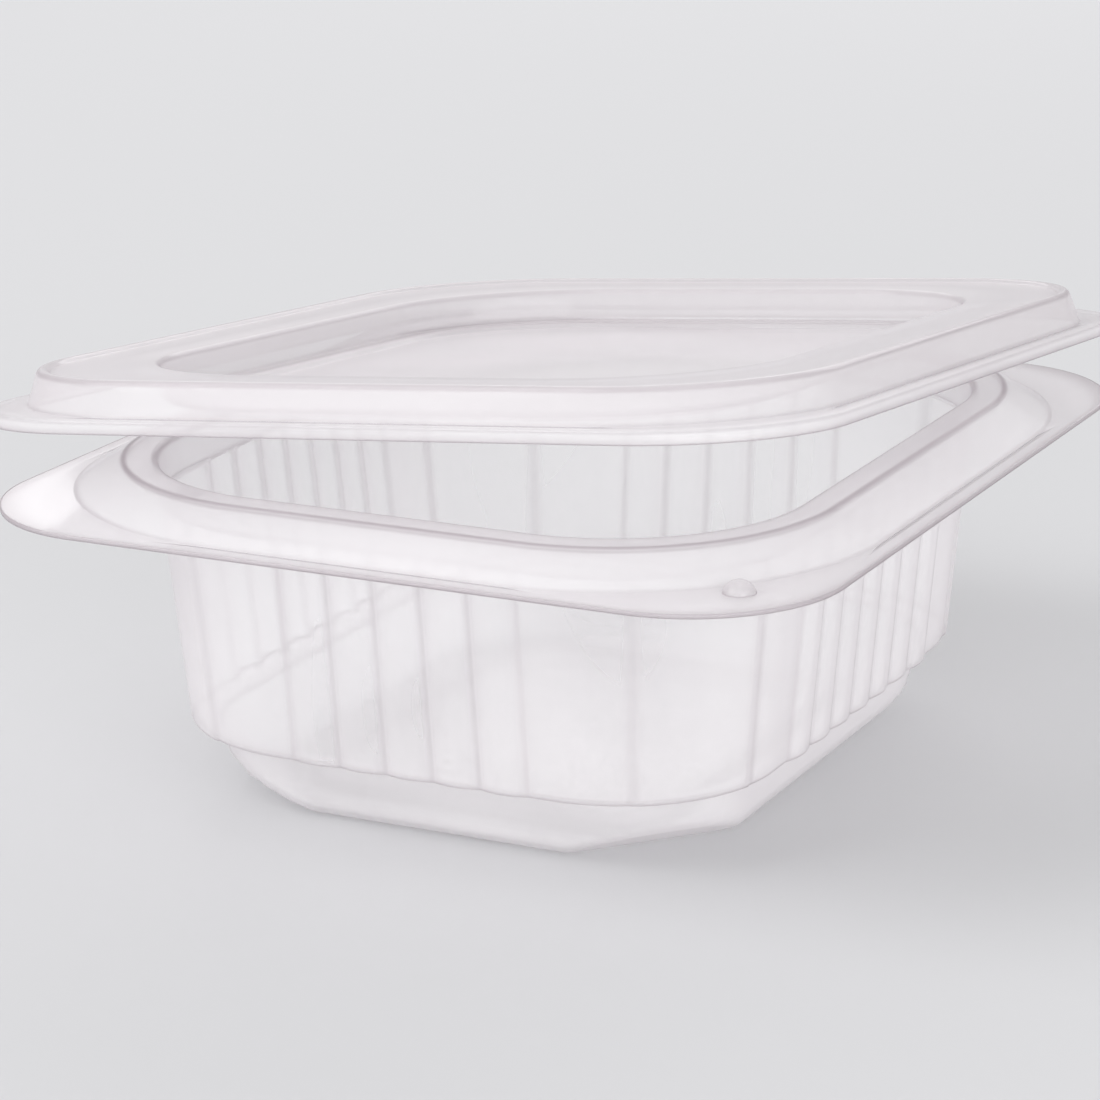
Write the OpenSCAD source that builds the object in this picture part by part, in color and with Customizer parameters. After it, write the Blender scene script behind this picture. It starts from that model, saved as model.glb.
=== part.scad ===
// Rectangular deli container: a clear reeded tub and its press-on lid.
// Origin: centre of the tub's base, on the surface it stands on. Short sides
// lie along X, long sides along Y. Millimetres.

/* [Tub] */
// Short side of the opening, inside the rim
open_w = 90.2; // [80:0.1:130]
// Long side of the opening, inside the rim
open_l = 105.8; // [98:0.1:170]
// Corner radius of the opening
open_r = 25; // [22:0.5:30]
// Height of the tub
tub_h = 46.5; // [36:0.5:80]
// Thickness of the tub's sheet
tub_t = 0.6; // [0.5:0.05:0.8]
// Lean of the side walls, in degrees
draft = 5.5; // [3:0.5:6]
// Height of the plain band under the rim that the lid plugs into
seal_h = 5; // [4.5:0.1:7]
// Inward step at the bottom of the plain band
seal_step = 0.6; // [0.4:0.1:1]

/* [Rim] */
// Width of the flat top of the rim
rim_w = 4.9; // [3:0.1:7]
// Reach of the sloping flange outside the rim
flange_w = 6.4; // [4:0.1:9]
// Drop of the sloping flange below the rim
flange_drop = 3.8; // [3:0.1:4.5]
// Width of the flat lip outside the flange, along the sides
lip_w = 2.4; // [1.5:0.1:4]
// Corner radius of the lip, small enough to leave a wide corner to grip
lip_r = 20; // [16:0.5:26]
// Radius of the half-round lug on the front corner of the lip
lug_r = 2.2; // [1.5:0.1:2.3]
// Gap between the foot of the flange and the lug
lug_gap = 0.4; // [0.2:0.1:0.5]

/* [Reeds] */
// Spacing of the upright reeds
reed_pitch = 6.8; // [5:0.1:10]
// How far a reed stands out of the wall
reed_rise = 1.1; // [0.8:0.1:1.1]
// Plain wall left beside the reeds on a long side
plain_long = 3; // [1:0.1:12]
// Plain wall left beside the reeds on a short side
plain_short = 2; // [1:0.1:8]
// How far the plain corners stand proud of the side walls
pillar_rise = 0.4; // [0.2:0.1:0.5]
// Angle round the corner arc where a plain corner starts, from the long side
pillar_from = 17; // [5:1:30]
// Angle that a plain corner takes up
pillar_turn = 44; // [30:1:50]

/* [Foot] */
// Height of the smooth foot band
foot_h = 9.5; // [8:0.1:11]
// How far the wall overhangs the foot band
ledge_w = 3.4; // [2:0.1:4]
// Slope of the ledge between wall and foot band, in degrees
ledge_angle = 8; // [4:1:20]
// How far the foot band leans in from its top to its bottom radius
foot_lean = 1.3; // [0.6:0.1:2]
// Radius round the bottom of the foot band
foot_r = 4.5; // [3:0.1:5]
// Length that a foot corner cuts off the short side
foot_cut_w = 17.4; // [14:0.1:18]
// Length that a foot corner cuts off the long side
foot_cut_l = 19.1; // [15:0.1:20]
// Lean of the cut foot corners from upright, in degrees
foot_cut_lean = 62; // [54:1:66]
// Width of the ring that the tub stands on
stand_w = 6.5; // [4:0.1:8]
// Rise of the floor inside the standing ring
floor_rise = 1; // [0.6:0.1:1.5]

/* [Lid] */
// Thickness of the lid's sheet
lid_t = 0.5; // [0.4:0.05:0.7]
// Gap between the closed lid and the tub
fit_gap = 0.3; // [0.2:0.05:0.5]
// Height of the closed lid's top above the tub's rim
lid_rise = 1.6; // [1.6:0.1:4]
// Corner radius of the lid's top edge
lid_top_r = 24; // [20:0.5:28]
// Inward lean of the lid's skirt from lip to top
skirt_lean = 1.5; // [0.5:0.1:1.8]
// Depth of the snap edge below the lid's lip
snap_drop = 1.3; // [0.9:0.1:2]
// Width of the bead round the lid's top edge
bead_w = 1.4; // [1:0.1:3]
// Height of the bead
bead_h = 0.5; // [0.3:0.1:1]
// Depth of the plug below the lid's top band
plug_h = 4.6; // [3.5:0.1:5]
// Inward lean of the plug from top to bottom
plug_lean = 0.8; // [0.5:0.1:1.5]
// Gap between the plug's top and the tub's opening
plug_gap = 0.5; // [0.4:0.1:1]
// Gap round the foot band of another tub that stacks in the lid's panel
stack_gap = 1.9; // [1:0.1:3]
// Depth of the stacking panel
stack_h = 0.8; // [0.5:0.1:1]
// Angle that the lid is tipped open about its far corner
lid_ajar = 7.6; // [0:0.1:60]
// Direction of the line that the lid tips about, in degrees from X
tip_turn = 40.6; // [36:0.1:50]

/* [Hidden] */
$fn = 96;
eps = 0.01;

// Centres of the opening's corner arcs. Every section below is drawn as
// distance out from these centres and height above the base.
corner_x = open_w / 2 - open_r;
corner_y = open_l / 2 - open_r;

// Side wall, which ends inside the sheet of the step that the plain band stands on
seal_taper = 0.3;
seal_z = tub_h - seal_h;
step_z = seal_z - tub_t;
wall_top_z = seal_z - tub_t / 2;
wall_top_out = open_r - seal_taper - seal_step + tub_t;
function wall_out(z) = wall_top_out - tan(draft) * (seal_z - z);
foot_out = wall_out(foot_h) - ledge_w;
base_out = foot_out - foot_lean - foot_r;
cut_out = base_out + foot_r / 2;
floor_out = base_out - stand_w;

// Reeds, as cylinders that stand out of the wall by reed_rise
reed_r = reed_pitch * reed_pitch / (8 * reed_rise) + reed_rise / 2;
reed_depth = reed_r - reed_rise;
reeds_long = floor((2 * corner_y - 2 * plain_long) / reed_pitch);
reeds_short = floor((2 * corner_x - 2 * plain_short) / reed_pitch);

// Rim and flange
bend_r = 0.6;
rim_out = open_r + rim_w;
flange_out = rim_out + flange_w;
lip_z = tub_h - flange_drop;
lip_half_w = corner_x + flange_out + lip_w;
lip_half_l = corner_y + flange_out + lip_w;
lug_turn = 43;
lug_out = flange_out + lug_gap + lug_r;

// Closed lid
lid_lip_z = lip_z + fit_gap;
lid_top_z = tub_h + lid_rise;
band_z = lid_top_z - bead_h;
snap_half_w = lip_half_w + fit_gap + lid_t;
snap_half_l = lip_half_l + fit_gap + lid_t;
snap_r = lip_r + fit_gap + lid_t;
snap_z = lid_lip_z - snap_drop;
skirt_half_w = corner_x + flange_out + fit_gap + lid_t;
skirt_half_l = corner_y + flange_out + fit_gap + lid_t;
skirt_r = lid_top_r + skirt_lean;
skirt_x = skirt_half_w - skirt_r;
skirt_y = skirt_half_l - skirt_r;
plug_out = open_r - plug_gap;
plug_z = band_z - plug_h;
panel_out = foot_out + stack_gap;
panel_z = plug_z - stack_h;

// The far corner of the closed lid, which it tips about
tip_far = [-sin(tip_turn), cos(tip_turn)];
tip_at = [-(snap_half_w - snap_r) + snap_r * tip_far[0],
          snap_half_l - snap_r + snap_r * tip_far[1],
          snap_z];
tip_axis = [-cos(tip_turn), -sin(tip_turn), 0];

// Unit vector square to the step from p to q, on its left
function left_of(p, q) = [p[1] - q[1], q[0] - p[0]] / norm(q - p);

// A line of points moved t to its left, with mitred corners
function beside(line, t) =
    [for (i = [0:len(line) - 1])
        let (n1 = left_of(line[max(i - 1, 0)], line[max(i, 1)]),
             n2 = left_of(line[min(i, len(line) - 2)], line[min(i + 1, len(line) - 1)]),
             n = (n1 + n2) / norm(n1 + n2))
        line[i] + n * t / (n * n1)];

// Section of a sheet of thickness t, along a line and on its left
module sheet(line, t) {
    side = beside(line, t);
    polygon(concat(line, [for (i = [len(side) - 1:-1:0]) side[i]]));
}

// Rounded rectangle, flat
module plan(half_w, half_l, r) {
    square([2 * half_w, 2 * (half_l - r)], center = true);
    square([2 * (half_w - r), 2 * half_l], center = true);
    for (x = [-1, 1], y = [-1, 1])
        translate([x * (half_w - r), y * (half_l - r)])
            circle(r);
}

// Sweeps a section round the rounded rectangle whose arcs are centred on x, y
module sweep_round(x, y) {
    for (turn = [0:3]) {
        long = turn % 2 == 0;
        at_x = long ? x : y;
        at_y = long ? y : x;
        rotate(90 * turn) {
            translate([at_x, at_y, 0])
                rotate_extrude(angle = 90)
                    children();
            translate([at_x, at_y, 0])
                rotate([90, 0, 0])
                    linear_extrude(2 * at_y)
                        children();
        }
    }
}

// The same, with the middle filled between two heights
module fill_round(x, y, low, high) {
    sweep_round(x, y)
        children();
    translate([-x, -y, low])
        cube([2 * x, 2 * y, high - low]);
}

// Foot band up to its top, inset by t, as a section
module foot_section(t) {
    polygon([
        [0, t],
        [base_out, t],
        [base_out, foot_r],
        [foot_out - foot_lean - t, foot_r],
        [foot_out - t, foot_h + ledge_lift(t)],
        [0, foot_h + ledge_lift(t)]
    ]);
    translate([base_out, foot_r])
        circle(foot_r - t);
}

// Height that the ledge gains when its sheet is t thick
function ledge_lift(t) = t / cos(ledge_angle) - t * tan(ledge_angle);

// Everything above the sloping ledge, inset by t, as a section
module above_ledge_section(t) {
    z = foot_h + ledge_lift(t);
    reach = 3 * (ledge_w + reed_rise);
    polygon([
        [0, z],
        [foot_out - t, z],
        [foot_out - t + reach, z + reach * tan(ledge_angle)],
        [foot_out - t + reach, tub_h],
        [0, tub_h]
    ]);
}

// Drafted wall between the foot and the plain band, inset by t and open at the top
module wall_section(t) {
    top_z = wall_top_z + max(t, 0);
    polygon([
        [0, foot_h],
        [wall_out(foot_h) - t, foot_h],
        [wall_out(top_z) - t, top_z],
        [0, top_z]
    ]);
}

// One row of reeds on the side that faces +X, inset by t
module reed_row(count, side_x, t) {
    lean_len = (wall_top_z + t - foot_h) / cos(draft);
    for (i = [0:count - 1])
        translate([side_x + wall_out(foot_h), (i - (count - 1) / 2) * reed_pitch, foot_h])
            rotate([0, draft, 0])
                translate([-reed_depth, 0, -reed_r])
                    cylinder(r = reed_r - t, h = lean_len + 2 * reed_r);
}

// Plain corner that stands proud of the walls beside it, inset by t
module corner_pillar(t) {
    inset = asin(t / wall_top_out);
    translate([corner_x, corner_y, 0])
        rotate(pillar_from + inset)
            rotate_extrude(angle = pillar_turn - 2 * inset)
                wall_section(t - pillar_rise);
}

// Reeded wall above the ledge, inset by t
module reeded_wall(t) {
    fill_round(corner_x, corner_y, foot_h, wall_top_z + t)
        wall_section(t);
    for (x = [0, 1], y = [0, 1])
        mirror([x, 0, 0])
            mirror([0, y, 0])
                corner_pillar(t);
    intersection() {
        for (turn = [0, 180]) {
            rotate(turn)
                reed_row(reeds_long, corner_x, t);
            rotate(turn + 90)
                reed_row(reeds_short, corner_y, t);
        }
        translate([-open_w / 2 - reed_r, -open_l / 2 - reed_r, 0])
            cube([open_w + 2 * reed_r, open_l + 2 * reed_r, wall_top_z + t]);
    }
}

// A slab that cuts one foot corner away, with its face inset by t
module corner_cut(t) {
    size = open_w;
    translate([corner_x + cut_out, corner_y + cut_out - foot_cut_l, 0])
        rotate(atan2(foot_cut_w, foot_cut_l))
            rotate([0, foot_cut_lean, 0])
                translate([-t, -size / 2, -size / 2])
                    cube(size);
}

// Foot band with its four cut corners, inset by t. The fill overlaps the wall above.
module foot(t) {
    difference() {
        fill_round(corner_x, corner_y, t, foot_h + ledge_lift(t) + eps)
            foot_section(t);
        for (x = [0, 1], y = [0, 1])
            mirror([x, 0, 0])
                mirror([0, y, 0])
                    corner_cut(t);
    }
}

// The tub's whole form below the rim, inset by t
module tub_form(t) {
    foot(t);
    intersection() {
        reeded_wall(t);
        fill_round(corner_x, corner_y, foot_h + ledge_lift(t), tub_h)
            above_ledge_section(t);
    }
}

// Raised floor inside the standing ring, grown by t
module floor_plateau(t) {
    fill_round(corner_x, corner_y, -eps, floor_rise + t)
        polygon([
            [0, -eps],
            [floor_out + t, -eps],
            [floor_out - floor_rise + t, floor_rise + t],
            [0, floor_rise + t]
        ]);
}

// Plain band, rim and sloping flange, as one bent sheet
module rim_sheet() {
    line = concat(
        [[wall_out(step_z) - tub_t + eps, step_z], [open_r - seal_taper + tub_t, step_z]],
        [[open_r - seal_taper + tub_t, seal_z], [open_r + tub_t, tub_h - tub_t - bend_r / 2]],
        [[open_r + tub_t + bend_r / 2, tub_h - tub_t]],
        [[rim_out - bend_r, tub_h - tub_t]],
        [[flange_out - tub_t, lip_z - tub_t], [flange_out + bend_r, lip_z - tub_t]]
    );
    sweep_round(corner_x, corner_y)
        sheet(line, tub_t);
}

// Flat lip, wider at the corners, with the half-round lug on the front one
module lip() {
    lug_at = [corner_x, -corner_y, lip_z - tub_t]
        + lug_out * [cos(lug_turn), -sin(lug_turn), 0];
    difference() {
        union() {
            translate([0, 0, lip_z - tub_t])
                linear_extrude(tub_t)
                    difference() {
                        plan(lip_half_w, lip_half_l, lip_r);
                        plan(corner_x + flange_out, corner_y + flange_out, flange_out);
                    }
            translate(lug_at)
                intersection() {
                    sphere(lug_r);
                    cylinder(r = lug_r, h = lug_r);
                }
        }
        translate(lug_at)
            sphere(lug_r - tub_t);
    }
}

module tub() {
    color("gainsboro") {
        difference() {
            tub_form(0);
            difference() {
                tub_form(tub_t);
                floor_plateau(tub_t);
            }
            floor_plateau(0);
        }
        rim_sheet();
        lip();
    }
}

// Snap edge and flat lip of the closed lid
module lid_lip() {
    translate([0, 0, snap_z])
        linear_extrude(snap_drop + lid_t)
            difference() {
                plan(snap_half_w, snap_half_l, snap_r);
                plan(snap_half_w - lid_t, snap_half_l - lid_t, snap_r - lid_t);
            }
    translate([0, 0, lid_lip_z])
        linear_extrude(lid_t)
            difference() {
                plan(snap_half_w, snap_half_l, snap_r);
                plan(skirt_half_w - lid_t, skirt_half_l - lid_t, skirt_r - lid_t);
            }
}

// Skirt, bead and the start of the top band, as one bent sheet
module lid_skirt() {
    top_out = skirt_r - skirt_lean;
    bead_in = top_out - bead_w;
    line = [
        [skirt_r + bend_r, lid_lip_z + lid_t],
        [skirt_r, lid_lip_z + lid_t],
        [top_out, lid_top_z - bend_r],
        [top_out - bend_r / 2, lid_top_z],
        [bead_in + bend_r / 2, lid_top_z],
        [bead_in, band_z],
        [bead_in - bend_r, band_z]
    ];
    sweep_round(skirt_x, skirt_y)
        sheet(line, lid_t);
}

// Flat top band between the bead and the plug
module lid_band() {
    bead_in = skirt_lean + bead_w + lid_t;
    translate([0, 0, band_z - lid_t])
        linear_extrude(lid_t)
            difference() {
                plan(skirt_half_w - bead_in, skirt_half_l - bead_in, skirt_r - bead_in);
                plan(corner_x + plug_out, corner_y + plug_out, plug_out);
            }
}

// Plug wall, floor ring and stacking panel, as one bent sheet
module lid_plug() {
    plug_low = plug_out - plug_lean - lid_t;
    line = [
        [plug_out + bend_r, band_z],
        [plug_out - lid_t, band_z],
        [plug_low, plug_z + bend_r],
        [plug_low - bend_r / 2, plug_z],
        [panel_out + stack_h, plug_z],
        [panel_out, panel_z],
        [panel_out - bend_r, panel_z]
    ];
    sweep_round(corner_x, corner_y)
        sheet(line, lid_t);
    translate([0, 0, panel_z - lid_t])
        linear_extrude(lid_t)
            plan(corner_x + panel_out - bend_r / 2, corner_y + panel_out - bend_r / 2,
                 panel_out - bend_r / 2);
}

// Lid as it sits when closed on the tub
module closed_lid() {
    lid_lip();
    lid_skirt();
    lid_band();
    lid_plug();
}

module lid() {
    color("whitesmoke")
        translate(tip_at)
            rotate(a = lid_ajar, v = tip_axis)
                translate(-tip_at)
                    closed_lid();
}

tub();
lid();
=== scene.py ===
import math

import bpy
import numpy as np
from mathutils import Matrix, Vector


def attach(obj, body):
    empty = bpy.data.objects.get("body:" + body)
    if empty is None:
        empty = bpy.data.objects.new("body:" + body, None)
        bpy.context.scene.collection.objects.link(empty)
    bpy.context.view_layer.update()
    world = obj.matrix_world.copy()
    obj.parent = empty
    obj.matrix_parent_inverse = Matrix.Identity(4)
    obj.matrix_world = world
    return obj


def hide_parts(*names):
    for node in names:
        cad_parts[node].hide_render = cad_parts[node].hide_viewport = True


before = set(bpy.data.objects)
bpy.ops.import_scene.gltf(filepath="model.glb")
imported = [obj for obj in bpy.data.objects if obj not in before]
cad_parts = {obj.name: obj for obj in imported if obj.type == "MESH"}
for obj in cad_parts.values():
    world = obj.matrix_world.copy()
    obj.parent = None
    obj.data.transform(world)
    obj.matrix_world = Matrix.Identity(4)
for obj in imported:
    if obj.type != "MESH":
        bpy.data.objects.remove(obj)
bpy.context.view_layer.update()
MM = 0.001

# Camera: turned from the front about Z, raised, and rolled, in degrees; distances in metres
VIEW_TURN = 26.866
VIEW_RAISE = 16.544
VIEW_ROLL = -0.8845
VIEW_DISTANCE = 0.54676
VIEW_ACROSS = -0.00426
VIEW_UP = 0.026205
SENSOR = 36.0
LENS = 127.85

# Tub
TUB_T = 0.6
TUB_H = 46.5
CORNER_X = 20.1
CORNER_Y = 27.9
OPEN_R = 25.0
DRAFT = math.radians(5.5)
SEAL_Z = TUB_H - 5.0
SEAL_TAPER = 0.3
STEP_Z = SEAL_Z - TUB_T
WALL_TOP_OUT = 24.7
RIM_OUT = OPEN_R + 4.9
FLANGE_OUT = RIM_OUT + 6.4
LIP_Z = TUB_H - 3.8
LIP_W = 2.4
LIP_R = 20.0
LUG_R = 2.2
LUG_OUT = FLANGE_OUT + 0.4 + LUG_R
LUG_TURN = math.radians(43)

# Reeds, and the plain pillars at the corners, which stand from one angle to another in degrees
REED_PITCH = 6.8
REED_RISE = 1.1
REED_R = REED_PITCH ** 2 / (8 * REED_RISE) + REED_RISE / 2
REEDS_LONG = 7
REEDS_SHORT = 5
# Width and strength of the painted shade lines along the reeds' grooves, which the pillars' edges
# also get
GROOVE_SHADE_W = 0.3
REED_GROOVE_SHADE = 0.42
PILLAR_RISE = 0.4
PILLAR_FROM = 17.0
PILLAR_TO = 61.0
# Width of the painted shade lines along the pillars' edges
PILLAR_SHADE_W = 0.9

# Foot
FOOT_H = 9.5
LEDGE_SLOPE = math.tan(math.radians(8))
FOOT_OUT = WALL_TOP_OUT - math.tan(DRAFT) * (SEAL_Z - FOOT_H) - 3.4
FOOT_LEAN = 1.3
FOOT_R = 4.5
BASE_OUT = FOOT_OUT - FOOT_LEAN - FOOT_R
CUT_OUT = BASE_OUT + FOOT_R / 2
CUT_W = 17.4
CUT_L = 19.1
CUT_LEAN = math.radians(62)
FLOOR_OUT = BASE_OUT - 6.5
FLOOR_RISE = 1.0

# Lid
LID_T = 0.5
FIT_GAP = 0.3
LID_LIP_Z = LIP_Z + FIT_GAP
LID_TOP_Z = TUB_H + 1.6
SNAP_X = CORNER_X + FLANGE_OUT + LIP_W - LIP_R
SNAP_Y = CORNER_Y + FLANGE_OUT + LIP_W - LIP_R
SNAP_R = LIP_R + FIT_GAP + LID_T
SNAP_Z = LID_LIP_Z - 1.3
SKIRT_LEAN = 1.5
SKIRT_R = 24.0 + SKIRT_LEAN
SKIRT_X = CORNER_X + FLANGE_OUT + FIT_GAP + LID_T - SKIRT_R
SKIRT_Y = CORNER_Y + FLANGE_OUT + FIT_GAP + LID_T - SKIRT_R
BEAD_W = 1.4
BAND_Z = LID_TOP_Z - 0.5
PLUG_OUT = OPEN_R - 0.5
PLUG_LEAN = 0.8
PLUG_Z = BAND_Z - 4.6
PANEL_OUT = FOOT_OUT + 1.9
STACK_H = 0.8
LID_AJAR = math.radians(7.6)
TIP_TURN = math.radians(40.6)

# Slight waviness of the lid's panel: height, lengths of its waves, and width of its calm edge
WAVE_H = 0.13
WAVE_X = 9.0
WAVE_Y = 13.0
WAVE_SLANT = 17.0
WAVE_EDGE = 12.0

# How finely the sheets are meshed
REED_STEPS = 8
BEND_STEPS = 5
SIDE_MARGIN_STEPS = 4
LUG_SIDES = 32
LUG_RINGS = 7
LUG_RING_TURN = 12

# The most of the way to the next knot that a bend takes up, and the share of a straight stretch
# over which its rings are spread
BEND_MOST = 0.45
STRAIGHT_END = 0.97

# A sheet's middle, with its own material, starts where the arc centres draw in past this share
MIDDLE_FROM = 0.99

# Tones of the sheet face on, of the painted shade where it turns away, and of the painted
# shade lines in its bends and grooves, from 0 to 255
FACE_TONE = (254, 253, 254)
# Painted shade: the sheet's tone where it turns away from view
GRAZING_SHADE_TONE = (245, 240, 243)
BEND_SHADE_TONE = (176, 165, 171)
FLOOR_TONE = (206, 206, 208)

# Plastic: gloss, how dense it looks face on and turned away, how much light it spreads, and how
# strongly the painted shade lines of its bends show in tone and density
ROUGHNESS = 0.1
PLASTIC_IOR = 1.49
THIN = 0.24
THIN_FLOOR = 0.28
THIN_PANEL = 0.22
DENSE = 0.85
TRANSLUCENT_SHARE = 0.35
BEND_SHADE_TONE_SHARE = 0.8
BEND_SHADE_DENSITY = 0.35
CLOUD_SCALE = 38.0
CLOUD_DRIFT = 0.05

# The floor's finely raised field: middle and half-width along X and Y, in metres, and its grain
MARKED = ((0.004, 0.019), (-0.008, 0.021))
MARK_SCALE = 950.0
MARK_STRENGTH = 0.28
MARK_HEIGHT = 0.0003
MARK_DENSITY = 0.35

# Studio: floor in metres, world strength, and lamps (name, place, aim, size, watts)
FLOOR_SIZE = 12.0
WORLD_STRENGTH = 0.66
LAMPS = (
    ("key", (-0.9, -0.7, 1.1), (0, 0, 0.02), (1.0, 1.0), 11),
    ("front", (0.9, -1.2, 0.4), (0, 0, 0.03), (2.2, 0.75), 18),
    ("back", (-0.2, 1.2, 0.7), (0, 0, 0.04), (1.6, 0.6), 6),
)


def wall_out(z):
    """Reach of the drafted wall's outer face beyond the corner arcs' centres."""
    return WALL_TOP_OUT - math.tan(DRAFT) * (SEAL_Z - z)


def side_places(half, reeds):
    """Places along half of a straight side and back, dense enough for its reeds."""
    reach = reeds * REED_PITCH / 2
    margin = np.linspace(-half, -reach, SIDE_MARGIN_STEPS + 1)[:-1]
    middle = np.linspace(-reach, reach, reeds * REED_STEPS + 1)
    return np.concatenate([margin, middle, -margin[::-1]])


def reed_relief(places, reeds):
    """How far the reeds stand out at each place, and how near it is to a groove."""
    reach = reeds * REED_PITCH / 2
    inside = np.abs(places) < reach - 1e-6
    off = np.mod(places + reach, REED_PITCH) - REED_PITCH / 2
    rise = np.where(inside, np.sqrt(REED_R ** 2 - off ** 2) - (REED_R - REED_RISE), 0)
    # Nearness to a groove, which weights the painted shade line along it
    near = np.exp(-((REED_PITCH / 2 - np.abs(off)) / GROOVE_SHADE_W) ** 2)
    return np.maximum(rise, 0), np.where(np.abs(places) < reach + 1e-6, near, 0)


def corner_angles():
    """Angles round a corner from the long side, with a close pair at each end of its pillar."""
    return np.concatenate([
        np.linspace(0, PILLAR_FROM - 0.5, 6),
        np.linspace(PILLAR_FROM + 0.7, PILLAR_TO - 0.7, 15),
        np.linspace(PILLAR_TO + 0.5, 90, 9),
    ])


class Outline:
    """Points round a rounded rectangle: arc centre, direction out, relief, nearness to a groove
    or pillar edge, which weights the painted shade lines there.
    """

    def __init__(self):
        rows = []
        long_y = side_places(CORNER_Y, REEDS_LONG)
        short_x = side_places(CORNER_X, REEDS_SHORT)
        long_rise, long_near = reed_relief(long_y, REEDS_LONG)
        short_rise, short_near = reed_relief(short_x, REEDS_SHORT)
        angles = corner_angles()
        pillar = np.where((angles > PILLAR_FROM) & (angles < PILLAR_TO), PILLAR_RISE, 0)
        # Nearness to the pillars' edges, which weights the painted shade lines there
        to_edge = np.minimum(abs(angles - PILLAR_FROM), abs(angles - PILLAR_TO))
        edge = np.exp(-(to_edge / PILLAR_SHADE_W) ** 2)

        def side(places, half, rise, near, along_y, sign):
            for p, r, g in zip(places, rise, near):
                at = (sign, sign * p / half) if along_y else (-sign * p / half, sign)
                out = (sign, 0) if along_y else (0, sign)
                rows.append((*at, *out, r, g))

        def corner(sx, sy, backwards):
            order = range(len(angles))[::-1] if backwards else range(len(angles))
            for i in list(order)[1:-1]:
                a = math.radians(angles[i])
                rows.append((sx, sy, sx * math.cos(a), sy * math.sin(a), pillar[i], edge[i]))

        side(long_y, CORNER_Y, long_rise, long_near, True, 1)
        corner(1, 1, False)
        side(short_x, CORNER_X, short_rise, short_near, False, 1)
        corner(-1, 1, True)
        side(long_y, CORNER_Y, long_rise, long_near, True, -1)
        corner(-1, -1, False)
        side(short_x, CORNER_X, short_rise, short_near, False, -1)
        corner(1, -1, True)
        table = np.array(rows)
        self.at = table[:, 0:2]
        self.out = table[:, 2:4]
        self.relief = table[:, 4]
        self.near = table[:, 5]

    def ring(self, knot):
        """Points of one ring. A knot is arc centre x and y, reach, height, relief and its rise."""
        x, y, reach, z, share, rise = knot
        far = reach + share * self.relief
        flat = self.at * (x, y) + self.out * far[:, None]
        return np.column_stack([flat, z + rise * self.relief])


def knot(x, y, reach, z, share=0.0, rise=0.0):
    """One point of a section, with its share of the relief and the rise that the relief gives."""
    return np.array([x, y, reach, z, share, rise], float)


def loft_knots(stops):
    """Knots of a section whose corners are rounded, each with how grey and opaque it is drawn.

    A stop is a knot, the length that its bend takes up on each side, how strong the painted
    shade in the bend is, the number of rings up to the next stop, and how grey and opaque the
    sheet is drawn on the way there.
    """
    made = []
    dense_before = 0.0
    for i, (here, bend, bend_shade, steps, dense) in enumerate(stops):
        before = stops[i - 1][0] if i else None
        after = stops[i + 1][0] if i + 1 < len(stops) else None
        if before is None or after is None or bend == 0:
            made.append((here, bend_shade))
            leave = here
        else:
            toward = (before - here) * min(bend / np.linalg.norm((before - here)[:4]), BEND_MOST)
            onward = (after - here) * min(bend / np.linalg.norm((after - here)[:4]), BEND_MOST)
            for k in range(BEND_STEPS + 1):
                t = k / BEND_STEPS
                painted_shade = dense_before * (1 - t) + dense * t + bend_shade * math.sin(math.pi * t)
                made.append((here + toward * (1 - t) ** 2 + onward * t ** 2, painted_shade))
            leave = here + onward
        if after is not None:
            reach = after - leave
            for k in range(1, steps):
                made.append((leave + reach * k / steps * STRAIGHT_END, dense))
        dense_before = dense
    return made


class Sheet:
    """Points, faces, bend values and material slots of a thin sheet, before its thickness.

    A bend value says how grey and opaque the sheet is drawn at a point, from 0 to 1: painted
    shade along its bends, grooves and pillar edges, and greyer stretches between them.
    """

    def __init__(self):
        self.points = []
        self.faces = []
        self.bend = []
        self.slots = []

    def add_ring(self, points, bend):
        start = len(self.points)
        self.points.extend(map(tuple, points))
        self.bend.extend(np.broadcast_to(bend, len(points)))
        return start

    def join(self, a, b, count, slot=0):
        for i in range(count):
            j = (i + 1) % count
            self.faces.append((a + i, a + j, b + j, b + i))
        self.slots += [slot] * count

    def close(self, ring_start, count, point, slot=0):
        self.points.append(tuple(point))
        self.bend.append(0.0)
        tip = len(self.points) - 1
        for i in range(count):
            self.faces.append((ring_start + i, ring_start + (i + 1) % count, tip))
        self.slots += [slot] * count

    def loft(self, outline, stops, shape=None):
        """Rings along a section, joined, with the last one closed flat in the middle.

        The middle takes the second material.
        """
        last = None
        count = len(outline.at)
        for place, bend in loft_knots(stops):
            ring = outline.ring(place)
            if shape:
                ring = shape(ring)
            # Painted shade: the section's value, or the painted shade line at a groove or pillar
            # edge where stronger
            painted_shade = np.maximum(bend, REED_GROOVE_SHADE * min(place[4], 1) * outline.near)
            start = self.add_ring(ring, painted_shade)
            slot = int(place[0] < CORNER_X * MIDDLE_FROM)
            if last is not None:
                self.join(last, start, count, slot)
            last = start
        self.close(last, count, np.mean(ring, axis=0), slot)

    def build(self, name, thickness, move=None):
        points = np.array(self.points)
        if move:
            points = move(points)
        mesh = bpy.data.meshes.new(name)
        mesh.from_pydata((points * MM).tolist(), [], self.faces)
        bend = mesh.attributes.new("bend", "FLOAT", "POINT")
        bend.data.foreach_set("value", np.array(self.bend, np.float32))
        mesh.polygons.foreach_set("material_index", self.slots)
        mesh.polygons.foreach_set("use_smooth", [True] * len(mesh.polygons))
        mesh.update()
        made = bpy.data.objects.new(name, mesh)
        bpy.context.scene.collection.objects.link(made)
        thick = made.modifiers.new("thickness", "SOLIDIFY")
        thick.thickness = thickness * MM
        thick.offset = 0
        thick.use_rim = True
        return made


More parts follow.
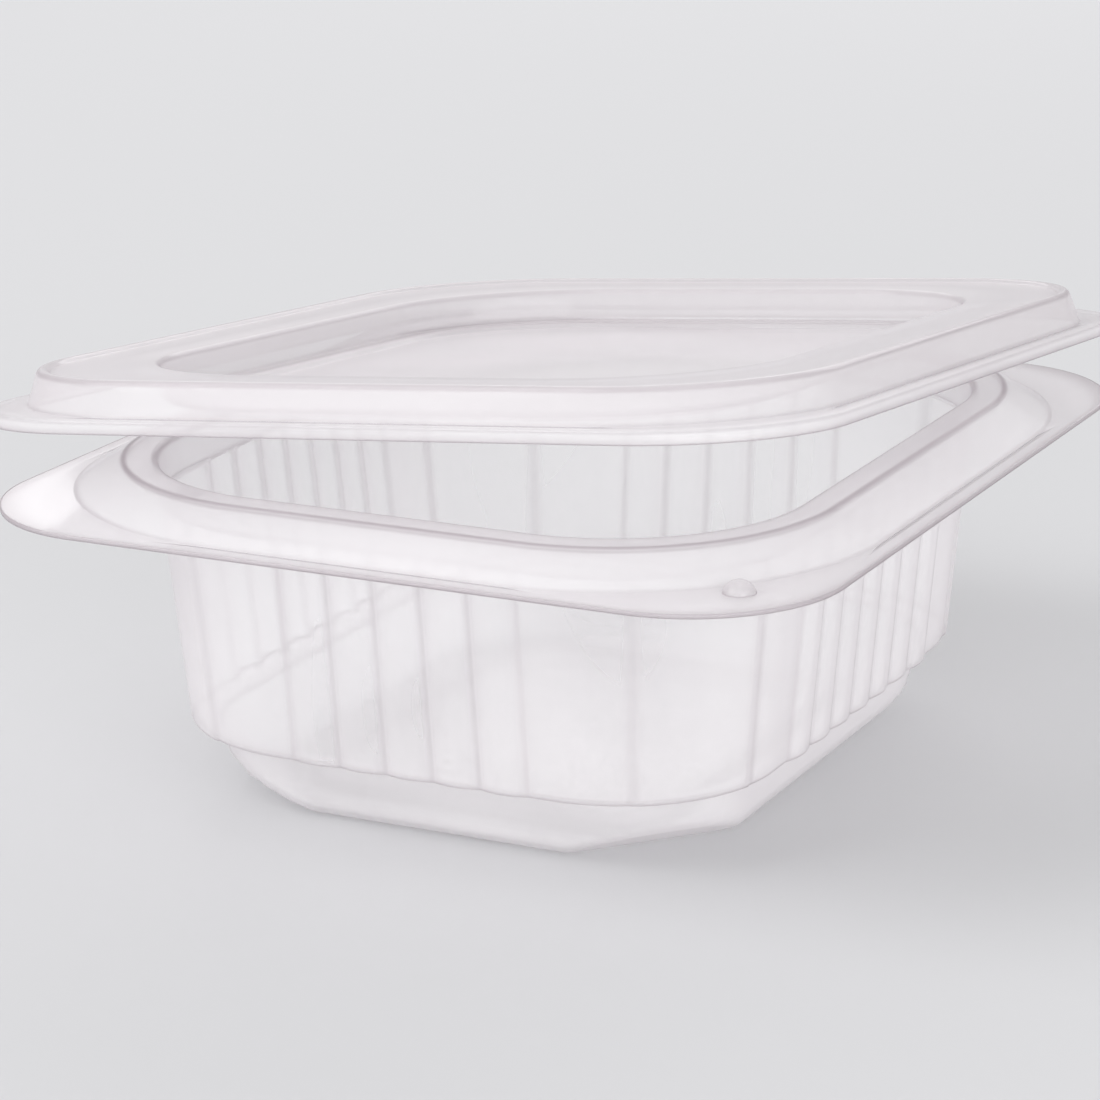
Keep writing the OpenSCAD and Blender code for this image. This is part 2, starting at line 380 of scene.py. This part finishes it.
def cut_corners(ring, out):
    """Pulls the points beyond the slanting faces of the foot's corners back onto them."""
    square = np.array([CUT_L, CUT_W]) / math.hypot(CUT_L, CUT_W)
    start = square @ (CORNER_X + CUT_OUT, CORNER_Y + CUT_OUT - CUT_L)
    limit = start + ring[:, 2] * math.tan(CUT_LEAN) - TUB_T / 2 / math.cos(CUT_LEAN)
    beyond = np.maximum(np.abs(ring[:, :2]) @ square - limit, 0)
    beyond[ring[:, 2] > FOOT_H] = 0
    back = beyond / (np.abs(out) @ square)
    moved = ring.copy()
    moved[:, :2] -= out * back[:, None]
    return moved


def tub_stops():
    """Section of the tub's sheet along its middle, from the lip's edge to the floor."""
    half = TUB_T / 2
    wall_low = wall_out(FOOT_H) - half
    ledge_z = FOOT_H + half + LEDGE_SLOPE * (wall_low - FOOT_OUT + half)
    lip = (SNAP_X, SNAP_Y)
    sweep = (CORNER_X, CORNER_Y)
    # Each stop: knot, bend length, painted shade in the bend, rings to the next stop, grey of the
    # stretch after
    stops = [
        (knot(*lip, LIP_R - 0.02, LIP_Z - half), 0, 1.0, 1, 0.15),
        (knot(*lip, LIP_R - 0.25, LIP_Z - half), 0, 0.6, 3, 0.15),
        (knot(*sweep, FLANGE_OUT - 0.2, LIP_Z - half), 0.8, 0.4, 3, 0.05),
        (knot(*sweep, RIM_OUT - 0.3, TUB_H - half), 0.6, 0.9, 3, 0.22),
        (knot(*sweep, OPEN_R + half, TUB_H - half), 0.8, 0.6, 3, 0.2),
        (knot(*sweep, OPEN_R - SEAL_TAPER + half, SEAL_Z - half), 0.45, 0.4, 1, 0.2),
        (knot(*sweep, WALL_TOP_OUT - half, STEP_Z + 0.02, 1.0), 0.25, 0.2, 7, 0.0),
        (knot(*sweep, wall_low, ledge_z, 1.0, LEDGE_SLOPE), 0.6, 0.6, 2, 0.12),
        (knot(*sweep, FOOT_OUT - half, FOOT_H + half), 0.6, 0.5, 4, 0.0),
    ]
    arc_r = FOOT_R - half
    for turn in np.linspace(0, 90, 9):
        a = math.radians(turn)
        spot = knot(*sweep, BASE_OUT + arc_r * math.cos(a), FOOT_R - arc_r * math.sin(a))
        stops.append((spot, 0, 0.0, 1, 0.0))
    stops += [
        (knot(*sweep, FLOOR_OUT + half, half), 0.5, 0.5, 1, 0.1),
        (knot(*sweep, FLOOR_OUT - FLOOR_RISE + half, FLOOR_RISE + half), 0.5, 0.5, 1, 0.1),
    ]
    for share in (0.85, 0.7, 0.55, 0.4, 0.25, 0.1):
        reach = (FLOOR_OUT - FLOOR_RISE) * share
        spot = knot(CORNER_X * share, CORNER_Y * share, reach, FLOOR_RISE + half)
        stops.append((spot, 0, 0.1, 1, 0.1))
    return stops


def add_lug(sheet):
    """Half-round lug on the lip's front corner."""
    x = CORNER_X + LUG_OUT * math.cos(LUG_TURN)
    y = -CORNER_Y - LUG_OUT * math.sin(LUG_TURN)
    r = LUG_R - TUB_T / 2
    count = LUG_SIDES
    last = None
    turn = np.linspace(0, 2 * math.pi, count, endpoint=False)
    for k in range(LUG_RINGS):
        up = math.radians(LUG_RING_TURN * (k + 1))
        ring = np.column_stack([
            x + r * math.cos(up) * np.cos(turn),
            y + r * math.cos(up) * np.sin(turn),
            np.full(count, LIP_Z - TUB_T + r * math.sin(up)),
        ])
        # Painted shade: a strong line round the lug's foot and a light grey over the rest of it
        start = sheet.add_ring(ring, 0.9 if k == 0 else 0.25)
        if last is not None:
            sheet.join(last, start, count)
        last = start
    sheet.close(last, count, (x, y, LIP_Z - TUB_T + r))


def lid_stops():
    """Section of the closed lid's sheet along its middle, from the snap edge to the panel."""
    half = LID_T / 2
    top_out = SKIRT_R - SKIRT_LEAN
    skirt = (SKIRT_X, SKIRT_Y)
    plug = (CORNER_X, CORNER_Y)
    # Each stop: knot, bend length, painted shade in the bend, rings to the next stop, grey of the
    # stretch after
    stops = [
        (knot(SNAP_X, SNAP_Y, SNAP_R - half, SNAP_Z + 0.02), 0, 1.0, 1, 0.2),
        (knot(SNAP_X, SNAP_Y, SNAP_R - half, SNAP_Z + 0.25), 0, 0.5, 1, 0.1),
        (knot(SNAP_X, SNAP_Y, SNAP_R - half, LID_LIP_Z + half), 0.5, 0.3, 2, 0.05),
        (knot(*skirt, SKIRT_R - half, LID_LIP_Z + half), 0.7, 0.4, 3, 0.3),
        (knot(*skirt, top_out - half, LID_TOP_Z - half), 0.7, 0.7, 1, 0.0),
        (knot(*skirt, top_out - BEAD_W + half, LID_TOP_Z - half), 0.4, 0.3, 1, 0.3),
        (knot(*skirt, top_out - BEAD_W - half, BAND_Z - half), 0.4, 0.3, 2, 0.05),
        (knot(*plug, PLUG_OUT - half, BAND_Z - half), 0.7, 0.5, 3, 0.3),
        (knot(*plug, PLUG_OUT - PLUG_LEAN - half, PLUG_Z - half), 0.7, 0.5, 2, 0.15),
        (knot(*plug, PANEL_OUT + STACK_H, PLUG_Z - half), 0.4, 0.4, 1, 0.3),
        (knot(*plug, PANEL_OUT, PLUG_Z - STACK_H - half), 0.4, 0.4, 1, 0.0),
    ]
    for share in (0.92, 0.84, 0.74, 0.64, 0.54, 0.44, 0.34, 0.24, 0.14, 0.06):
        spot = knot(CORNER_X * share, CORNER_Y * share, PANEL_OUT * share, PLUG_Z - STACK_H - half)
        stops.append((spot, 0, 0.0, 1, 0.0))
    return stops


def flex(ring):
    """Slight waviness that a thin formed lid has in its panel."""
    x, y, z = ring.T
    wave = np.sin(x / WAVE_X + 1.1) * np.cos(y / WAVE_Y - 0.4)
    wave += 0.6 * np.sin((x + 1.4 * y) / WAVE_SLANT)
    calm_y = np.clip((CORNER_Y + PANEL_OUT - np.abs(y)) / WAVE_EDGE, 0, 1)
    calm_x = np.clip((CORNER_X + PANEL_OUT - np.abs(x)) / WAVE_EDGE, 0, 1)
    moved = ring.copy()
    moved[:, 2] += WAVE_H * wave * calm_y * calm_x * (z < PLUG_Z - 0.5)
    return moved


def tip_open(points):
    """Turns the closed lid about its far corner to the angle it stands at."""
    far = np.array([-math.sin(TIP_TURN), math.cos(TIP_TURN)])
    corner = np.array([-SNAP_X, SNAP_Y])
    at = np.array([*(corner + SNAP_R * far), SNAP_Z])
    axis = Vector((-math.cos(TIP_TURN), -math.sin(TIP_TURN), 0))
    turn = np.array(Matrix.Rotation(LID_AJAR, 3, axis))
    return (points - at) @ turn.T + at


def srgb(red, green, blue):
    """Linear colour from 0 to 255 values."""
    parts = []
    for value in (red, green, blue):
        c = value / 255
        parts.append(c / 12.92 if c <= 0.04045 else ((c + 0.055) / 1.055) ** 2.4)
    return (*parts, 1.0)


def new_material(name):
    material = bpy.data.materials.new(name)
    material.use_nodes = True
    return material, material.node_tree.nodes, material.node_tree.links


def add_node(tree_nodes, kind, **inputs):
    """A shader node with the values of some of its inputs."""
    made = tree_nodes.new(kind)
    for key, value in inputs.items():
        made.inputs[key.replace("_", " ")].default_value = value
    return made


def add_math(tree, operation, first, second, clamp=False):
    """A math node between two sockets, or a socket and a value."""
    made = tree.nodes.new("ShaderNodeMath")
    made.operation = operation
    made.use_clamp = clamp
    for place, value in enumerate((first, second)):
        if isinstance(value, (int, float)):
            made.inputs[place].default_value = value
        else:
            tree.links.new(value, made.inputs[place])
    return made.outputs["Value"]


def add_mix(tree, factor, first, second):
    """A colour mix between two colours or sockets."""
    made = tree.nodes.new("ShaderNodeMix")
    made.data_type = "RGBA"
    for key, value in (("A", first), ("B", second)):
        if isinstance(value, tuple):
            made.inputs[key].default_value = value
        else:
            tree.links.new(value, made.inputs[key])
    tree.links.new(factor, made.inputs["Factor"])
    return made.outputs["Result"]


def clear_sheet(name, thin, marks=False):
    """Thin clear sheet: pale face on, denser where it turns away and in its bends,
    and greyed there with painted shade.
    """
    material, tree_nodes, links = new_material(name)
    tree = material.node_tree
    shader = tree_nodes["Principled BSDF"]
    shader.inputs["Roughness"].default_value = ROUGHNESS
    shader.inputs["IOR"].default_value = PLASTIC_IOR
    position = tree_nodes.new("ShaderNodeTexCoord").outputs["Object"]

    facing = add_node(tree_nodes, "ShaderNodeLayerWeight", Blend=0.3).outputs["Facing"]
    bend = tree_nodes.new("ShaderNodeAttribute")
    bend.attribute_name = "bend"
    cloud = add_node(tree_nodes, "ShaderNodeTexNoise", Scale=CLOUD_SCALE, Detail=0.0)
    links.new(position, cloud.inputs["Vector"])

    # Painted shade, greyer where the sheet turns away from view
    tone = add_mix(tree, facing, srgb(*FACE_TONE), srgb(*GRAZING_SHADE_TONE))
    # Painted shade lines along the bends and grooves, from the bend attribute
    shade_mix = add_math(tree, "MULTIPLY", bend.outputs["Fac"], BEND_SHADE_TONE_SHARE)
    tone = add_mix(tree, shade_mix, tone, srgb(*BEND_SHADE_TONE))

    density = add_node(tree_nodes, "ShaderNodeMapRange", To_Min=thin, To_Max=DENSE)
    links.new(facing, density.inputs["Value"])
    drift = add_node(tree_nodes, "ShaderNodeMapRange", From_Min=0.3, From_Max=0.7,
                     To_Min=-CLOUD_DRIFT, To_Max=CLOUD_DRIFT)
    links.new(cloud.outputs["Fac"], drift.inputs["Value"])
    total = add_math(tree, "ADD", density.outputs["Result"], drift.outputs["Result"])
    # The sheet is drawn more opaque where the shade lines are painted
    shade_opacity = add_math(tree, "MULTIPLY", bend.outputs["Fac"], BEND_SHADE_DENSITY)
    total = add_math(tree, "ADD", total, shade_opacity, clamp=True)

    if marks:
        grain = add_node(tree_nodes, "ShaderNodeTexVoronoi", Scale=MARK_SCALE)
        stretch = add_node(tree_nodes, "ShaderNodeMapping", Scale=(1.0, 0.4, 1.0))
        links.new(position, stretch.inputs["Vector"])
        links.new(stretch.outputs["Vector"], grain.inputs["Vector"])
        split = tree_nodes.new("ShaderNodeSeparateXYZ")
        links.new(position, split.inputs["Vector"])
        zone = None
        for axis, (middle, half) in zip("XY", MARKED):
            inside = add_math(tree, "COMPARE", split.outputs[axis], middle)
            inside.node.inputs[2].default_value = half
            zone = add_math(tree, "MULTIPLY", zone, inside) if zone else inside
        height = add_math(tree, "MULTIPLY", grain.outputs["Distance"], zone)
        bump = add_node(tree_nodes, "ShaderNodeBump", Strength=MARK_STRENGTH, Distance=MARK_HEIGHT)
        links.new(height, bump.inputs["Height"])
        links.new(bump.outputs["Normal"], shader.inputs["Normal"])
        raised = add_math(tree, "MULTIPLY", height, MARK_DENSITY)
        total = add_math(tree, "ADD", total, raised, clamp=True)

    links.new(tone, shader.inputs["Base Color"])
    links.new(total, shader.inputs["Alpha"])

    glow = tree_nodes.new("ShaderNodeBsdfTranslucent")
    links.new(tone, glow.inputs["Color"])
    clear = tree_nodes.new("ShaderNodeBsdfTransparent")
    veil = tree_nodes.new("ShaderNodeMixShader")
    links.new(total, veil.inputs["Fac"])
    links.new(clear.outputs["BSDF"], veil.inputs[1])
    links.new(glow.outputs["BSDF"], veil.inputs[2])
    both = tree_nodes.new("ShaderNodeMixShader")
    both.inputs["Fac"].default_value = TRANSLUCENT_SHARE
    links.new(shader.outputs["BSDF"], both.inputs[1])
    links.new(veil.outputs["Shader"], both.inputs[2])
    links.new(both.outputs["Shader"], tree_nodes["Material Output"].inputs["Surface"])
    return material


def add_tub(outline):
    sheet = Sheet()
    sheet.loft(outline, tub_stops(), lambda ring: cut_corners(ring, outline.out))
    add_lug(sheet)
    tub = sheet.build("tub_sheet", TUB_T)
    tub.data.materials.append(clear_sheet("tub_clear", THIN))
    tub.data.materials.append(clear_sheet("tub_floor_clear", THIN_FLOOR, marks=True))
    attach(tub, "tub")
    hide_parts("tub")


def add_lid(outline):
    sheet = Sheet()
    sheet.loft(outline, lid_stops(), flex)
    lid = sheet.build("lid_sheet", LID_T, tip_open)
    lid.data.materials.append(clear_sheet("lid_clear", THIN))
    lid.data.materials.append(clear_sheet("lid_panel_clear", THIN_PANEL))
    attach(lid, "lid")
    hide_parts("lid")


def floor_material():
    material, tree_nodes, links = new_material("floor_paper")
    shader = tree_nodes["Principled BSDF"]
    shader.inputs["Base Color"].default_value = srgb(*FLOOR_TONE)
    shader.inputs["Roughness"].default_value = 0.8
    shader.inputs["Specular IOR Level"].default_value = 0.1
    grain = add_node(tree_nodes, "ShaderNodeTexNoise", Scale=900.0, Detail=2.0)
    bump = add_node(tree_nodes, "ShaderNodeBump", Strength=0.05, Distance=0.0002)
    links.new(grain.outputs["Fac"], bump.inputs["Height"])
    links.new(bump.outputs["Normal"], shader.inputs["Normal"])
    return material


def add_floor(size):
    mesh = bpy.data.meshes.new("floor")
    half = size / 2
    corners = [(-half, -half, 0), (half, -half, 0), (half, half, 0), (-half, half, 0)]
    mesh.from_pydata(corners, [], [(0, 1, 2, 3)])
    floor = bpy.data.objects.new("floor", mesh)
    mesh.materials.append(floor_material())
    bpy.context.scene.collection.objects.link(floor)


def add_lamp(name, place, aim, size, power):
    lamp = bpy.data.lights.new(name, "AREA")
    lamp.shape = "RECTANGLE"
    lamp.size, lamp.size_y = size
    lamp.energy = power
    made = bpy.data.objects.new(name, lamp)
    made.location = place
    made.rotation_euler = (Vector(aim) - Vector(place)).to_track_quat("-Z", "Y").to_euler()
    bpy.context.scene.collection.objects.link(made)


def add_world(strength):
    world = bpy.data.worlds.new("studio")
    world.use_nodes = True
    background = world.node_tree.nodes["Background"]
    background.inputs["Color"].default_value = (1, 1, 1, 1)
    background.inputs["Strength"].default_value = strength
    bpy.context.scene.world = world


def add_camera():
    turn, raised, roll = (math.radians(a) for a in (VIEW_TURN, VIEW_RAISE, VIEW_ROLL))
    flat = math.cos(raised)
    back = Vector((math.sin(turn) * flat, -math.cos(turn) * flat, math.sin(raised)))
    level = Vector((math.cos(turn), math.sin(turn), 0))
    upward = back.cross(level)
    right = level * math.cos(roll) + upward * math.sin(roll)
    top = upward * math.cos(roll) - level * math.sin(roll)
    camera = bpy.data.objects.new("camera", bpy.data.cameras.new("camera"))
    camera.data.sensor_width = SENSOR
    camera.data.lens = LENS
    camera.matrix_world = Matrix((
        (right.x, top.x, back.x, 0),
        (right.y, top.y, back.y, 0),
        (right.z, top.z, back.z, 0),
        (0, 0, 0, 1),
    ))
    camera.location = right * VIEW_ACROSS + top * VIEW_UP + back * VIEW_DISTANCE
    bpy.context.scene.collection.objects.link(camera)
    bpy.context.scene.camera = camera


shared_outline = Outline()
add_tub(shared_outline)
add_lid(shared_outline)
add_floor(FLOOR_SIZE)
add_world(WORLD_STRENGTH)
for lamp_facts in LAMPS:
    add_lamp(*lamp_facts)
add_camera()
bpy.context.scene.view_settings.view_transform = "Standard"
